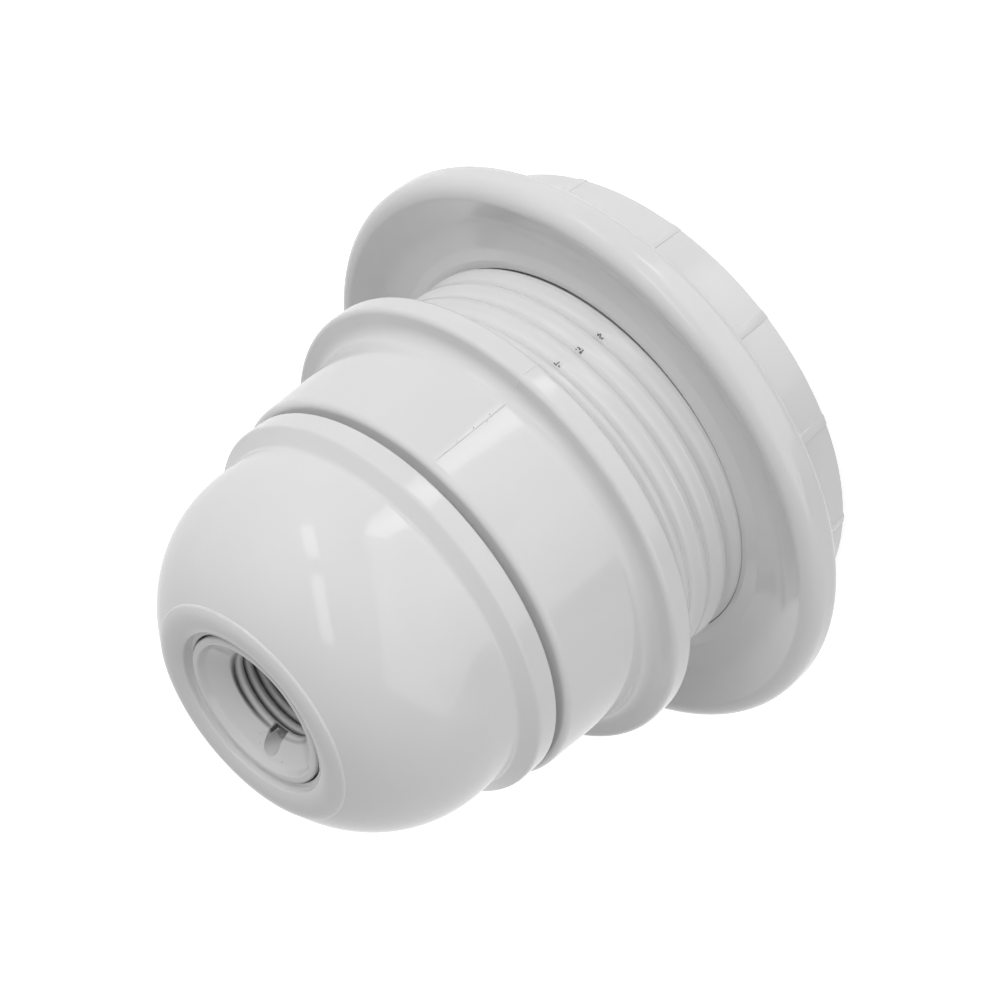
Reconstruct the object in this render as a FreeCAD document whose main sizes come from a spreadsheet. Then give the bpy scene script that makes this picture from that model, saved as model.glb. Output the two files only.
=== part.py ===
import FreeCAD, Part

import math
import os

import Sketcher

# Screw-base lamp holder of white thermoplastic with a threaded barrel and a shade ring.
# The mouth that takes the lamp faces down and its rim is at height 0; the entry for the
# tube or cable is on top. The Z axis runs through the middle of every turned part.
# All sizes are in millimetres, all angles in degrees.

SIZES = {
    # bore for the lamp's thread, with a wider relief above it
    "lamp_crest_radius": 12.3,
    "lamp_relief_depth": 1.3,
    "lamp_thread_gap": 1.6,
    # barrel that carries the shade ring
    "barrel_radius": 19.9,
    "barrel_length": 22.0,
    "barrel_wall": 2.9,
    "mouth_web": 2.4,
    "mouth_round": 0.8,
    "sleeve_wall": 1.5,
    "sleeve_height": 26.0,
    # collar and the smooth housing above it
    "collar_width": 2.95,
    "collar_thickness": 2.4,
    "collar_round": 0.5,
    "chamber_radius": 17.6,
    "housing_wall": 2.1,
    "housing_draft": 0.4,
    "housing_rise": 8.7,
    "housing_round": 0.35,
    # domed cap
    "joint_gap": 1.2,
    "lip_setback": 0.5,
    "lip_height": 1.7,
    "lip_slope": 1.1,
    "lip_round": 0.7,
    "dome_setback": 1.5,
    "dome_spring": 5.5,
    "dome_arc": 12.9,
    "dome_fillet": 2.0,
    "spigot_wall": 1.9,
    "spigot_clearance": 0.2,
    "land_outer_radius": 11.0,
    "land_foot": 16.5,
    "land_rise": 0.84,
    "land_crown": 0.4,
    "recess_radius": 8.2,
    "recess_depth": 1.04,
    "recess_round": 0.25,
    "boss_wall": 1.9,
    "boss_depth": 8.7,
    # entry bush with the tapping bore for the 10 mm entry thread
    "bush_radius": 7.5,
    "bush_clearance": 0.15,
    "bush_stand": 0.3,
    "bush_rim": 0.7,
    "bush_dish_radius": 6.5,
    "bush_dish_depth": 0.7,
    "bush_dish_round": 0.5,
    "bush_mouth_depth": 1.9,
    "bush_flange_radius": 9.4,
    "bush_flange": 2.5,
    "entry_radius": 4.46,
    "entry_mouth_radius": 4.9,
    "entry_chamfer": 0.5,
    "pocket_offset": 5.4,
    "pocket_radius": 1.0,
    "pocket_depth": 3.0,
    "lock_offset": 5.9,
    "lock_angle": 126.0,
    "lock_radius": 0.85,
    "lock_clearance": 0.1,
    "lock_length": 7.0,
    "lock_engagement": 1.5,
    "lock_slot_width": 0.5,
    "lock_slot_depth": 0.9,
    # contact block
    "block_clearance": 0.3,
    "block_thickness": 2.5,
    "block_boss_clearance": 0.4,
    "block_boss_depth": 1.1,
    "key_width": 3.0,
    "key_height": 6.4,
    "key_clearance": 0.25,
    "key_depth": 1.1,
    "key_inset": 1.0,
    "tower_offset": 9.4,
    "tower_half_length": 4.2,
    "tower_half_width": 4.0,
    "tower_height": 4.5,
    "tower_cheek": 0.8,
    "tower_cheek_rise": 2.0,
    "barrier_width": 1.6,
    "barrier_length": 18.0,
    "barrier_height": 7.5,
    # terminals
    "terminal_side": 5.8,
    "terminal_height": 3.3,
    "terminal_clearance": 0.1,
    "plate_width": 6.0,
    "plate_thickness": 0.8,
    "plate_hole_radius": 1.6,
    "shank_radius": 1.45,
    "shank_clearance": 0.1,
    "screw_tail_gap": 0.2,
    "head_radius": 2.6,
    "head_height": 2.0,
    "head_slot_width": 0.8,
    "head_slot_depth": 1.1,
    # contact strips
    "strip_thickness": 0.5,
    "strip_width": 5.0,
    "strip_clearance": 0.1,
    "strip_hole_radius": 1.8,
    "tongue_flat": 3.0,
    "tongue_reach": 1.6,
    "tongue_drop": 1.9,
    "tongue_tip": 2.4,
    "tongue_lift": 0.8,
    "side_tongue_length": 4.1,
    "side_bulge": 0.6,
    "side_bulge_length": 2.6,
    "rivet_radius": 0.7,
    "rivet_head_radius": 1.2,
    "rivet_head_height": 0.4,
    "rivet_clearance": 0.05,
    # shade ring
    "ring_clearance": 0.2,
    "ring_width": 8.9,
    "ring_front": 13.0,
    "ring_thickness": 3.8,
    "ring_bead_width": 0.9,
    "ring_bead_slope": 2.2,
    "ring_face_drop": 1.6,
    "ring_back_round": 1.2,
    "ring_front_round": 0.65,
    "ring_crest_round": 0.5,
    "ring_bead_round": 1.5,
    "ring_bore_step": 0.6,
    "ring_bore_rise": 0.3,
    "ring_hub_length": 6.2,
    "ring_skirt_length": 10.4,
    "ring_skirt_share": 0.506,
    "ring_skirt_wall_share": 0.191,
    "ring_skirt_draft": 0.4,
    "ring_rib_width": 1.0,
    "ring_rib_rise": 0.2,
    "ring_rib_foot_rise": 0.06,
    "ring_rib_angle": -92.0,
    "ring_rib_count": 14,
}

# How far a cutting tool runs past the surface that it cuts, so that no skin is left
OVERCUT = 1.0

document = FreeCAD.newDocument("lamp_holder")
sheet = document.addObject("Spreadsheet::Sheet", "Sizes")
for row, (size_name, number) in enumerate(SIZES.items(), start=1):
    sheet.set(f"A{row}", size_name)
    sheet.set(f"B{row}", str(number))
    sheet.setAlias(f"B{row}", size_name)
document.recompute()


class Size:
    """A number that also carries the sheet expression it is worked out from."""

    def __init__(self, value, text):
        self.value = float(value)
        self.text = text

    def __add__(self, other):
        other = as_size(other)
        return Size(self.value + other.value, f"({self.text} + {other.text})")

    def __sub__(self, other):
        other = as_size(other)
        return Size(self.value - other.value, f"({self.text} - {other.text})")

    def __mul__(self, other):
        other = as_size(other)
        return Size(self.value * other.value, f"({self.text} * {other.text})")

    def __truediv__(self, other):
        other = as_size(other)
        return Size(self.value / other.value, f"({self.text} / {other.text})")

    def __neg__(self):
        return Size(-self.value, f"(-1 * {self.text})")


def as_size(number):
    """A plain number as a Size; a Size stays as it is."""
    return number if isinstance(number, Size) else Size(number, repr(float(number)))


def size(name):
    """The named cell of the sheet."""
    return Size(SIZES[name], f"Sizes.{name}")


def smaller(first, second):
    """The smaller of two sizes, for a fillet or hollow that two walls limit."""
    return Size(min(first.value, second.value), f"min({first.text}; {second.text})")


def origin_plane(body, role):
    """One of the body's own origin planes or axes, by its role."""
    return next(feature for feature in body.Origin.OriginFeatures if feature.Role == role)


def new_body(label):
    """An empty body whose label is the sub-part's name."""
    body = document.addObject("PartDesign::Body", label)
    body.Label = label
    return body


def new_sketch(body, name, role="XZ_Plane"):
    """A sketch on one of the body's origin planes; on XZ its axes are radius and height."""
    sketch = body.newObject("Sketcher::SketchObject", name)
    sketch.AttachmentSupport = [(origin_plane(body, role), "")]
    sketch.MapMode = "FlatFace"
    return sketch


def pin_point(sketch, label, geometry, end, point):
    """Binds one point of the sketch to its two sizes."""
    for kind, measure in (("DistanceX", point[0]), ("DistanceY", point[1])):
        if measure is None:
            continue
        constraint = Sketcher.Constraint(kind, -1, 1, geometry, end, measure.value)
        bind(sketch, f"{label}_{kind}", constraint, measure)


def outline(body, name, corners, role="XZ_Plane", arcs=None):
    """A closed outline through corners, each a pair of sizes.

    arcs maps the number of a corner to the centre of the arc that leaves it. One end of an
    arc may have None for the radius or the height that the arc itself decides.
    """
    arcs = {number: point_of(centre) for number, centre in (arcs or {}).items()}
    sketch = new_sketch(body, name, role)
    corners = [point_of(corner) for corner in corners]
    places = corner_places(corners, arcs)
    ends = []
    for number, place in enumerate(places):
        after = places[(number + 1) % len(places)]
        if number in arcs:
            ends.append(add_arc(sketch, arcs[number], place, after))
        else:
            sketch.addGeometry(Part.LineSegment(place, after), False)
            ends.append((1, 2))
    for number, (first, last) in enumerate(ends):
        after = (number + 1) % len(ends)
        sketch.addConstraint(Sketcher.Constraint("Coincident", number, last, after, ends[after][0]))
    for number, corner in enumerate(corners):
        pin_point(sketch, f"corner{number}", number, ends[number][0], corner)
    for number, centre in arcs.items():
        pin_point(sketch, f"centre{number}", number, 3, centre)
    return sketch


def point_of(pair):
    """A pair of numbers, sizes or None as a pair of sizes or None."""
    return tuple(None if part is None else as_size(part) for part in pair)


def corner_places(corners, arcs):
    """Where the corners lie, with the parts worked out that an arc decides."""
    places = [[None if part is None else part.value for part in corner] for corner in corners]
    for number, centre in arcs.items():
        here, after = places[number], places[(number + 1) % len(places)]
        known, open_end = (after, here) if None in here else (here, after)
        middle = (centre[0].value, centre[1].value)
        radius = math.dist(known, middle)
        if None in open_end:
            missing = open_end.index(None)
            other = 1 - missing
            reach = math.sqrt(radius**2 - (open_end[other] - middle[other]) ** 2)
            open_end[missing] = middle[missing] + reach
    return [FreeCAD.Vector(first, second, 0) for first, second in places]


def add_arc(sketch, centre, place, after):
    """Adds the shorter arc from place to after and returns its start and end points."""
    middle = FreeCAD.Vector(centre[0].value, centre[1].value, 0)
    circle = Part.Circle(middle, FreeCAD.Vector(0, 0, 1), (place - middle).Length)
    first = math.atan2(place.y - middle.y, place.x - middle.x)
    last = math.atan2(after.y - middle.y, after.x - middle.x)
    backwards = (last - first) % (2 * math.pi) > math.pi
    if backwards:
        first, last = last, first
    sketch.addGeometry(Part.ArcOfCircle(circle, first, last), False)
    return (2, 1) if backwards else (1, 2)


def bind(sketch, label, constraint, measure):
    """Adds one constraint and binds its value."""
    index = sketch.addConstraint(constraint)
    sketch.renameConstraint(index, label)
    sketch.setExpression(f"Constraints.{label}", measure.text)


def revolve(body, name, sketch, cut=False):
    """Turns a sketch about the vertical axis, as solid or as a groove."""
    kind = "PartDesign::Groove" if cut else "PartDesign::Revolution"
    feature = body.newObject(kind, name)
    feature.Profile = sketch
    feature.ReferenceAxis = (sketch, ["V_Axis"])
    feature.Angle = 360
    document.recompute()
    return feature


def pad(body, name, sketch, length, middle=True, cut=False, backwards=False):
    """Pads or pockets a sketch, to both sides of it or to one."""
    kind = "PartDesign::Pocket" if cut else "PartDesign::Pad"
    feature = body.newObject(kind, name)
    feature.Profile = sketch
    feature.setExpression("Length", length.text)
    feature.Midplane = middle
    feature.Reversed = backwards
    document.recompute()
    return feature


def round_edges(body, name, places, radius):
    """Fillets the circular edges at the given pairs of radius and height."""
    base = body.Tip
    chosen = []
    for radial, height in places:
        for number, edge in enumerate(base.Shape.Edges, start=1):
            if is_ring(edge, as_size(radial).value, as_size(height).value):
                chosen.append(f"Edge{number}")
    if len(chosen) != len(places):
        raise ValueError(f"{name}: {len(chosen)} edges found for {len(places)} places")
    feature = body.newObject("PartDesign::Fillet", name)
    feature.Base = (base, chosen)
    feature.setExpression("Radius", as_size(radius).text)
    document.recompute()
    return feature


def is_ring(edge, radial, height):
    """True for a full circle about the Z axis with that radius and height."""
    near = 0.01
    if not isinstance(edge.Curve, Part.Circle) or len(edge.Vertexes) > 1:
        return False
    centre = edge.Curve.Center
    off_axis = math.hypot(centre.x, centre.y)
    return off_axis < near and abs(edge.Curve.Radius - radial) < near and abs(centre.z - height) < near


def place_at(part, x, y, z):
    """Binds the position of a primitive to its sizes."""
    for axis, measure in (("x", x), ("y", y), ("z", z)):
        part.setExpression(f"Placement.Base.{axis}", as_size(measure).text)


def cylinder(name, radius, height, x=0, y=0, z=0):
    """An upright cylinder standing on the given point."""
    part = document.addObject("Part::Cylinder", name)
    part.setExpression("Radius", as_size(radius).text)
    part.setExpression("Height", as_size(height).text)
    place_at(part, x, y, z)
    return part


def box(name, low, high):
    """A box between two opposite corners, each of three sizes."""
    part = document.addObject("Part::Box", name)
    low = [as_size(measure) for measure in low]
    high = [as_size(measure) for measure in high]
    for side, bottom, top in zip(("Length", "Width", "Height"), low, high):
        part.setExpression(side, (top - bottom).text)
    place_at(part, *low)
    return part


def fuse(name, parts):
    """The parts as one solid."""
    joined = document.addObject("Part::MultiFuse", name)
    joined.Shapes = parts
    joined.Refine = True
    return joined


def cut_away(name, base, tools):
    """The base less every tool; the result is labelled with the name."""
    result = document.addObject("Part::Cut", name)
    result.Base = base
    result.Tool = tools[0] if len(tools) == 1 else fuse(f"{name}_tools", tools)
    result.Refine = True
    result.Label = name
    return result


# Heights and radii that several pieces share
block_seat = size("sleeve_height")
block_top = block_seat + size("block_thickness")
block_boss_foot = block_seat - size("block_boss_depth")
tower_top = block_top + size("tower_height")
strip_top = tower_top + size("strip_thickness")
plate_top = strip_top + size("plate_thickness")
pocket_floor = tower_top - size("terminal_height")
housing_top = block_seat + size("housing_rise")
lip_foot = housing_top + size("joint_gap")
spring_height = lip_foot + size("dome_spring")
land_foot = lip_foot + size("land_foot")
land_top = land_foot + size("land_rise")
land_edge = land_top - size("land_crown")
recess_floor = land_top - size("recess_depth")
boss_foot = recess_floor - size("boss_depth")
bush_foot = boss_foot - size("bush_flange")
bush_top = recess_floor + size("bush_stand")
pocket_foot = bush_top - size("pocket_depth")
relief_radius = size("lamp_crest_radius") + size("lamp_relief_depth")
sleeve_radius = relief_radius + size("sleeve_wall")
collar_radius = size("barrel_radius") + size("collar_width")
collar_top = size("barrel_length") + size("collar_thickness")
housing_high_radius = size("chamber_radius") + size("housing_wall")
housing_low_radius = housing_high_radius + size("housing_draft")
barrel_bore = smaller(size("barrel_radius"), housing_low_radius) - size("barrel_wall")
lip_radius = housing_high_radius - size("lip_setback")
dome_radius = lip_radius - size("dome_setback")
spigot_radius = size("chamber_radius") - size("spigot_clearance")
spigot_bore = spigot_radius - size("spigot_wall")
lamp_thread_top = block_boss_foot - size("side_tongue_length") - size("lamp_thread_gap")
ring_bore = size("barrel_radius") + size("ring_clearance")
ring_radius = ring_bore + size("ring_width")


def make_shell():
    """Barrel, collar and housing in one moulding, with a sleeve inside for the lamp's thread."""
    body = new_body("shell")
    section = outline(
        body,
        "shell_section",
        [
            (size("lamp_crest_radius"), 0),
            (size("barrel_radius"), 0),
            (size("barrel_radius"), size("barrel_length")),
            (collar_radius, size("barrel_length")),
            (collar_radius, collar_top),
            (housing_low_radius, collar_top),
            (housing_high_radius, housing_top),
            (size("chamber_radius"), housing_top),
            (size("chamber_radius"), block_seat),
            (barrel_bore, block_seat),
            (barrel_bore, size("mouth_web")),
            (sleeve_radius, size("mouth_web")),
            (sleeve_radius, block_seat),
            (relief_radius, block_seat),
            (relief_radius, lamp_thread_top),
            (size("lamp_crest_radius"), lamp_thread_top),
        ],
    )
    revolve(body, "shell_turned", section)
    collar_rims = [
        (collar_radius, size("barrel_length")),
        (collar_radius, collar_top),
    ]
    round_edges(body, "collar_rounds", collar_rims, size("collar_round"))
    top_rim = [(housing_high_radius, housing_top)]
    round_edges(body, "housing_round", top_rim, size("housing_round"))
    mouth_rims = [(size("barrel_radius"), 0), (size("lamp_crest_radius"), 0)]
    round_edges(body, "mouth_rounds", mouth_rims, size("mouth_round"))
    return body


def make_cap():
    """Domed cap with a spigot below, a lip over the joint and a rounded land round the entry."""
    body = new_body("cap")
    dome_centre = (dome_radius - size("dome_arc"), spring_height)
    half_land = (size("land_outer_radius") - size("recess_radius")) / 2
    crown = size("land_crown")
    crown_radius = (half_land * half_land + crown * crown) / (crown * 2)
    land_centre = (size("recess_radius") + half_land, land_top - crown_radius)
    bush_bore = size("bush_radius") + size("bush_clearance")
    boss_radius = bush_bore + size("boss_wall")
    section = outline(
        body,
        "cap_section",
        [
            (spigot_radius, block_top),
            (spigot_radius, lip_foot),
            (lip_radius, lip_foot),
            (lip_radius, lip_foot + size("lip_height")),
            (dome_radius, lip_foot + size("lip_height") + size("lip_slope")),
            (dome_radius, spring_height),
            (size("land_outer_radius"), None),
            (size("land_outer_radius"), land_edge),
            (size("recess_radius"), None),
            (size("recess_radius"), recess_floor),
            (bush_bore, recess_floor),
            (bush_bore, boss_foot),
            (boss_radius, boss_foot),
            (boss_radius, None),
            (spigot_bore, spring_height),
            (spigot_bore, block_top),
        ],
        arcs={5: dome_centre, 7: land_centre, 13: dome_centre},
    )
    revolve(body, "cap_turned", section)
    slope_top = lip_foot + size("lip_height") + size("lip_slope")
    round_edges(body, "dome_fillet", [(dome_radius, slope_top)], size("dome_fillet"))
    lip_edge = [(lip_radius, lip_foot + size("lip_height"))]
    round_edges(body, "lip_round", lip_edge, size("lip_round"))
    round_edges(body, "recess_round", [(size("recess_radius"), land_edge)], size("recess_round"))
    slot_side = size("key_width") / 2 + size("key_clearance")
    slot_top = block_top + size("key_height") + size("key_clearance")
    slots = outline(
        body,
        "key_slots",
        [
            (-slot_side, block_top),
            (slot_side, block_top),
            (slot_side, slot_top),
            (-slot_side, slot_top),
        ],
    )
    pad(body, "key_slots_cut", slots, (spigot_bore + size("key_depth")) * 2, cut=True)
    return body


def make_entry_bush():
    """Dished bush for the entry thread, with a half-round pocket over the locking screw's hole."""
    body = new_body("entry_bush")
    dish_edge = size("bush_radius") - size("bush_rim")
    section = outline(
        body,
        "bush_section",
        [
            (size("entry_radius"), bush_foot),
            (size("bush_flange_radius"), bush_foot),
            (size("bush_flange_radius"), boss_foot),
            (size("bush_radius"), boss_foot),
            (size("bush_radius"), bush_top),
            (dish_edge, bush_top),
            (size("bush_dish_radius"), bush_top - size("bush_dish_depth")),
            (size("entry_mouth_radius"), bush_top - size("bush_mouth_depth")),
            (size("entry_radius"), bush_top - size("bush_mouth_depth") - size("entry_chamfer")),
        ],
    )
    revolve(body, "bush_turned", section)
    dish = [(size("bush_dish_radius"), bush_top - size("bush_dish_depth"))]
    round_edges(body, "dish_fillet", dish, size("bush_dish_round"))
    notch = outline(
        body,
        "pocket_notch",
        [
            (size("entry_radius") - OVERCUT, pocket_foot),
            (size("pocket_offset"), pocket_foot),
            (size("pocket_offset"), bush_top + OVERCUT),
            (size("entry_radius") - OVERCUT, bush_top + OVERCUT),
        ],
    )
    pad(body, "pocket_notch_cut", notch, size("pocket_radius") * 2, cut=True)
    pocket = hole_circle(body, "pocket_end", (size("pocket_offset"), as_size(0)), size("pocket_radius"))
    pocket.setExpression("AttachmentOffset.Base.z", pocket_foot.text)
    pocket_height = bush_top - pocket_foot + OVERCUT
    pad(body, "pocket_end_cut", pocket, pocket_height, middle=False, cut=True, backwards=True)
    hole = size("lock_radius") + size("lock_clearance")
    lock_hole = hole_circle(body, "lock_hole", (size("lock_offset"), as_size(0)), hole)
    pad(body, "lock_hole_cut", lock_hole, pocket_foot, middle=False, cut=True, backwards=True)
    turn_to(body, "lock_angle")
    return body


def turn_to(body, angle_name):
    """Turns a finished body about the Z axis to a named angle."""
    turn = FreeCAD.Rotation(FreeCAD.Vector(0, 0, 1), SIZES[angle_name])
    body.Placement = FreeCAD.Placement(FreeCAD.Vector(0, 0, 0), turn)


def hole_circle(body, name, centre, radius):
    """A circle in the body's level plane, for a hole that runs upright."""
    sketch = new_sketch(body, name, "XY_Plane")
    middle = FreeCAD.Vector(centre[0].value, centre[1].value, 0)
    sketch.addGeometry(Part.Circle(middle, FreeCAD.Vector(0, 0, 1), radius.value), False)
    pin_point(sketch, "centre", 0, 3, centre)
    bind(sketch, "hole_radius", Sketcher.Constraint("Radius", 0, radius.value), radius)
    return sketch


def make_locking_screw():
    """Headless screw beside the entry bore, driven from inside the cap to stop a tube turning."""
    body = new_body("locking_screw")
    foot = bush_foot + size("lock_engagement") - size("lock_length")
    rod = hole_circle(body, "lock_rod_circle", (size("lock_offset"), as_size(0)), size("lock_radius"))
    rod.setExpression("AttachmentOffset.Base.z", foot.text)
    pad(body, "lock_rod", rod, size("lock_length"), middle=False)
    reach = size("lock_radius") + OVERCUT
    slot = outline(
        body,
        "lock_slot",
        [
            (size("lock_offset") - reach, foot - OVERCUT),
            (size("lock_offset") + reach, foot - OVERCUT),
            (size("lock_offset") + reach, foot + size("lock_slot_depth")),
            (size("lock_offset") - reach, foot + size("lock_slot_depth")),
        ],
    )
    pad(body, "lock_slot_cut", slot, size("lock_slot_width"), cut=True)
    turn_to(body, "lock_angle")
    return body


def make_contact_block():
    """Insulating block with a tower for each terminal and a barrier between them."""
    disc_radius = size("chamber_radius") - size("block_clearance")
    boss_radius = relief_radius - size("block_boss_clearance")
    solids = [
        cylinder("block_disc", disc_radius, size("block_thickness"), z=block_seat),
        cylinder("block_boss", boss_radius, size("block_boss_depth"), z=block_boss_foot),
        box(
            "block_barrier",
            (-size("barrier_width") / 2, -size("barrier_length") / 2, block_top),
            (size("barrier_width") / 2, size("barrier_length") / 2, block_top + size("barrier_height")),
        ),
    ]
    tools = []
    for side in (1, -1):
        solids += tower_solids(side)
        tools += tower_hollows(side)
    solids.append(block_keys(disc_radius))
    tools += strip_slots()
    rivet_x = rivet_place()
    rivet_hole = size("rivet_radius") + size("rivet_clearance")
    depth = block_top - block_boss_foot + OVERCUT * 2
    tools.append(cylinder("block_rivet_hole", rivet_hole, depth, rivet_x, 0, block_boss_foot - OVERCUT))
    return cut_away("contact_block", fuse("block_solids", solids), tools)


def side_range(side, near, far):
    """Low and high x of a stretch that lies between near and far on one side of the axis."""
    return (near, far) if side > 0 else (-far, -near)


def tower_solids(side):
    """One terminal tower with its two cheeks."""
    name = "live" if side > 0 else "neutral"
    near = size("tower_offset") - size("tower_half_length")
    far = size("tower_offset") + size("tower_half_length")
    low, high = side_range(side, near, far)
    width = size("tower_half_width")
    cheek_top = tower_top + size("tower_cheek_rise")
    return [
        box(f"{name}_tower", (low, -width, block_top), (high, width, tower_top)),
        box(f"{name}_cheek_a", (low, -width, tower_top), (high, size("tower_cheek") - width, cheek_top)),
        box(f"{name}_cheek_b", (low, width - size("tower_cheek"), tower_top), (high, width, cheek_top)),
    ]


def tower_hollows(side):
    """The pocket that holds the terminal's threaded block."""
    name = "live" if side > 0 else "neutral"
    half = size("terminal_side") / 2 + size("terminal_clearance")
    low, high = side_range(side, size("tower_offset") - half, size("tower_offset") + half)
    return [box(f"{name}_pocket", (low, -half, pocket_floor), (high, half, tower_top + OVERCUT))]


def block_keys(disc_radius):
    """Two keys that slide in the grooves inside the cap's spigot and stop the block from turning."""
    half = size("key_width") / 2
    top = block_top + size("key_height")
    inner = spigot_bore - size("key_inset")
    outer = spigot_bore + size("key_depth") - size("key_clearance")
    outside = cylinder("key_outside", outer, size("key_height"), z=block_top)
    inside = cylinder("key_inside", inner, size("key_height") + OVERCUT * 2, z=block_top - OVERCUT)
    bar = box("key_bar", (-half, -disc_radius, block_top), (half, disc_radius, top))
    ring = document.addObject("Part::Cut", "key_ring")
    ring.Base = outside
    ring.Tool = inside
    keys = document.addObject("Part::MultiCommon", "keys")
    keys.Shapes = [ring, bar]
    return keys


def live_leg():
    """Low and high x of the centre contact's upright leg, just inside its tower."""
    high = size("tower_offset") - size("tower_half_length") - size("strip_clearance")
    return high - size("strip_thickness"), high


def side_leg():
    """Low and high x of the side contact's upright leg, at the outer end of its terminal."""
    high = -(size("tower_offset") + size("terminal_side") / 2 + size("strip_clearance"))
    return high - size("strip_thickness"), high


def rivet_place():
    """The rivet's x, in the middle of the flat stretch of the centre contact."""
    return live_leg()[0] - size("tongue_flat") / 2


def strip_slots():
    """Slots for the legs of the two contact strips, down through the block."""
    gap = size("strip_clearance")
    half = size("strip_width") / 2 + gap
    slots = []
    for name, (low, high) in (("live", live_leg()), ("side", side_leg())):
        corner = (low - gap, -half, block_boss_foot - OVERCUT)
        slots.append(box(f"{name}_slot", corner, (high + gap, half, tower_top + OVERCUT)))
    return slots


def make_strip(label, corners):
    """A bent strip from its side view."""
    body = new_body(label)
    section = outline(body, f"{label}_bend", corners)
    pad(body, f"{label}_strip", section, size("strip_width"))
    return body


def make_centre_contact():
    """Springy strip from the live terminal to the tongue that meets the lamp's tip."""
    thick = size("strip_thickness")
    low, high = live_leg()
    far = size("tower_offset") + size("terminal_side") / 2
    under = block_boss_foot - thick
    flat_end = low - size("tongue_flat")
    knee = flat_end - size("tongue_reach") * 2
    tip = knee - size("tongue_tip")
    body = make_strip(
        "centre_contact",
        [
            (far, tower_top),
            (far, strip_top),
            (low, strip_top),
            (low, block_boss_foot),
            (flat_end, block_boss_foot),
            (knee, block_boss_foot - size("tongue_drop")),
            (tip, block_boss_foot - size("tongue_drop") + size("tongue_lift")),
            (tip, under - size("tongue_drop") + size("tongue_lift")),
            (knee, under - size("tongue_drop")),
            (flat_end, under),
            (high, under),
            (high, tower_top),
        ],
    )
    screw_hole = size("strip_hole_radius")
    bore_strip(body, "screw_hole", size("tower_offset"), screw_hole, tower_top, strip_top)
    rivet_hole = size("rivet_radius") + size("rivet_clearance")
    bore_strip(body, "rivet_hole", rivet_place(), rivet_hole, under, block_boss_foot)
    return body


def bore_strip(body, name, x, radius, foot, top):
    """An upright hole through a strip between two heights."""
    sketch = hole_circle(body, f"{name}_circle", (x, as_size(0)), radius)
    sketch.setExpression("AttachmentOffset.Base.z", (foot - OVERCUT).text)
    depth = top - foot + OVERCUT * 2
    pad(body, name, sketch, depth, middle=False, cut=True, backwards=True)


def make_side_contact():
    """Strip from the neutral terminal down to the side of the lamp's thread."""
    low, high = side_leg()
    near = -(size("tower_offset") - size("terminal_side") / 2)
    foot = block_boss_foot - size("side_tongue_length")
    bulge_top = foot + size("side_bulge_length")
    bulge = size("side_bulge")
    middle = foot + size("side_bulge_length") / 2
    body = make_strip(
        "side_contact",
        [
            (near, tower_top),
            (near, strip_top),
            (low, strip_top),
            (low, bulge_top),
            (low + bulge, middle),
            (low, foot),
            (high, foot),
            (high + bulge, middle),
            (high, bulge_top),
            (high, tower_top),
        ],
    )
    screw_hole = size("strip_hole_radius")
    bore_strip(body, "screw_hole", -size("tower_offset"), screw_hole, tower_top, strip_top)
    return body


def make_rivet():
    """Rivet that fixes the centre contact under the block."""
    x = rivet_place()
    foot = block_boss_foot - size("strip_thickness")
    head = size("rivet_head_height")
    parts = [
        cylinder("rivet_shank", size("rivet_radius"), block_top - foot, x, 0, foot),
        cylinder("rivet_low_head", size("rivet_head_radius"), head, x, 0, foot - head),
        cylinder("rivet_top_head", size("rivet_head_radius"), head, x, 0, block_top),
    ]
    rivet = fuse("contact_rivet", parts)
    rivet.Label = "contact_rivet"
    return rivet


def make_terminal(name, side):
    """Threaded brass block, clamp plate and screw of one terminal."""
    x = size("tower_offset") * side
    half = size("terminal_side") / 2
    block = box(
        f"{name}_terminal_block",
        (x - half, -half, pocket_floor),
        (x + half, half, tower_top),
    )
    hole = cylinder(
        f"{name}_terminal_hole",
        size("shank_radius") + size("shank_clearance"),
        size("terminal_height") + OVERCUT * 2,
        x,
        0,
        pocket_floor - OVERCUT,
    )
    terminal = cut_away(f"{name}_terminal", block, [hole])
    wide = size("plate_width") / 2
    sheet_plate = box(f"{name}_plate_sheet", (x - wide, -wide, strip_top), (x + wide, wide, plate_top))
    depth = size("plate_thickness") + OVERCUT * 2
    plate_hole = cylinder(f"{name}_plate_hole", size("plate_hole_radius"), depth, x, 0, strip_top - OVERCUT)
    plate = cut_away(f"{name}_clamp_plate", sheet_plate, [plate_hole])
    return [terminal, plate, make_terminal_screw(name, x)]


def make_terminal_screw(name, x):
    """Slotted screw whose flat head presses on the clamp plate."""
    foot = pocket_floor + size("screw_tail_gap")
    shank = cylinder(f"{name}_shank", size("shank_radius"), plate_top - foot, x, 0, foot)
    head = cylinder(f"{name}_head", size("head_radius"), size("head_height"), x, 0, plate_top)
    top = plate_top + size("head_height")
    reach = size("head_radius") + OVERCUT
    half = size("head_slot_width") / 2
    slot = box(
        f"{name}_head_slot",
        (x - reach, -half, top - size("head_slot_depth")),
        (x + reach, half, top + OVERCUT),
    )
    return cut_away(f"{name}_terminal_screw", fuse(f"{name}_screw_turned", [shank, head]), [slot])


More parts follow.
